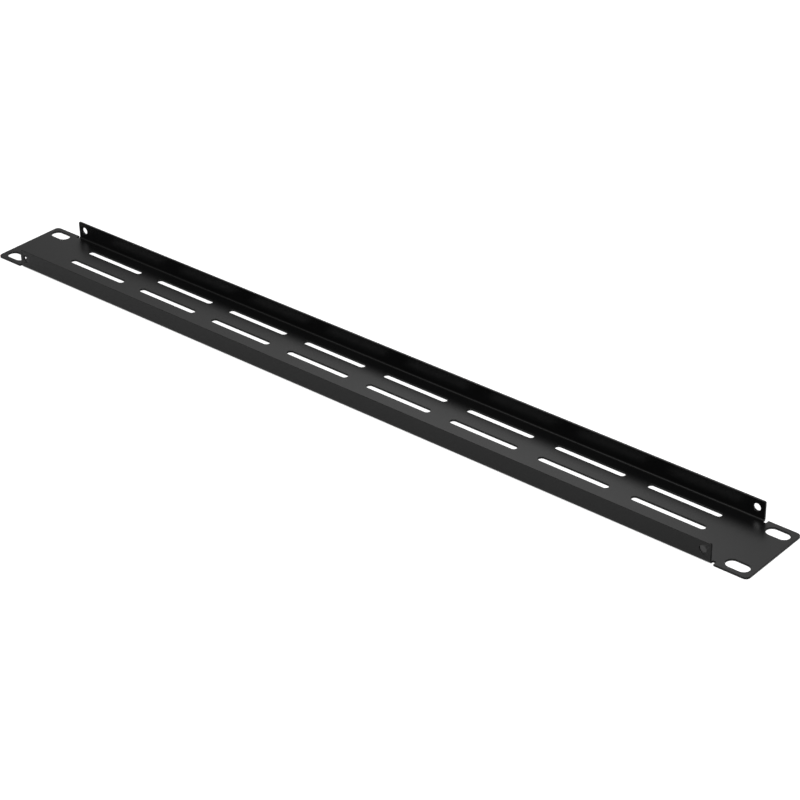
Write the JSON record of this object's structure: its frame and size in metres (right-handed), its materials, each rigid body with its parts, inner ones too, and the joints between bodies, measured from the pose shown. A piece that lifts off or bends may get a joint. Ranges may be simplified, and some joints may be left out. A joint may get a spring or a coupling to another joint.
{
  "type": "vented rack blanking panel",
  "caption": "Flat steel rack blanking panel, one rack unit high, with long vent slots, two folded stiffening flanges and an ear at each end with oblong screw slots.",
  "frame": {"origin": "middle of the front face, which lies on Z = 0", "axes": "+X along the panel, +Y across it from one flange to the other, +Z from the front face back into the rack, the way both flanges are folded"},
  "size_m": [0.4826, 0.0436, 0.0107],
  "materials": {
    "black_coat": "black satin powder coat on steel, fine and even"
  },
  "bodies": {
    "root": {"panel": "black_coat"}
  },
  "joints": []
}
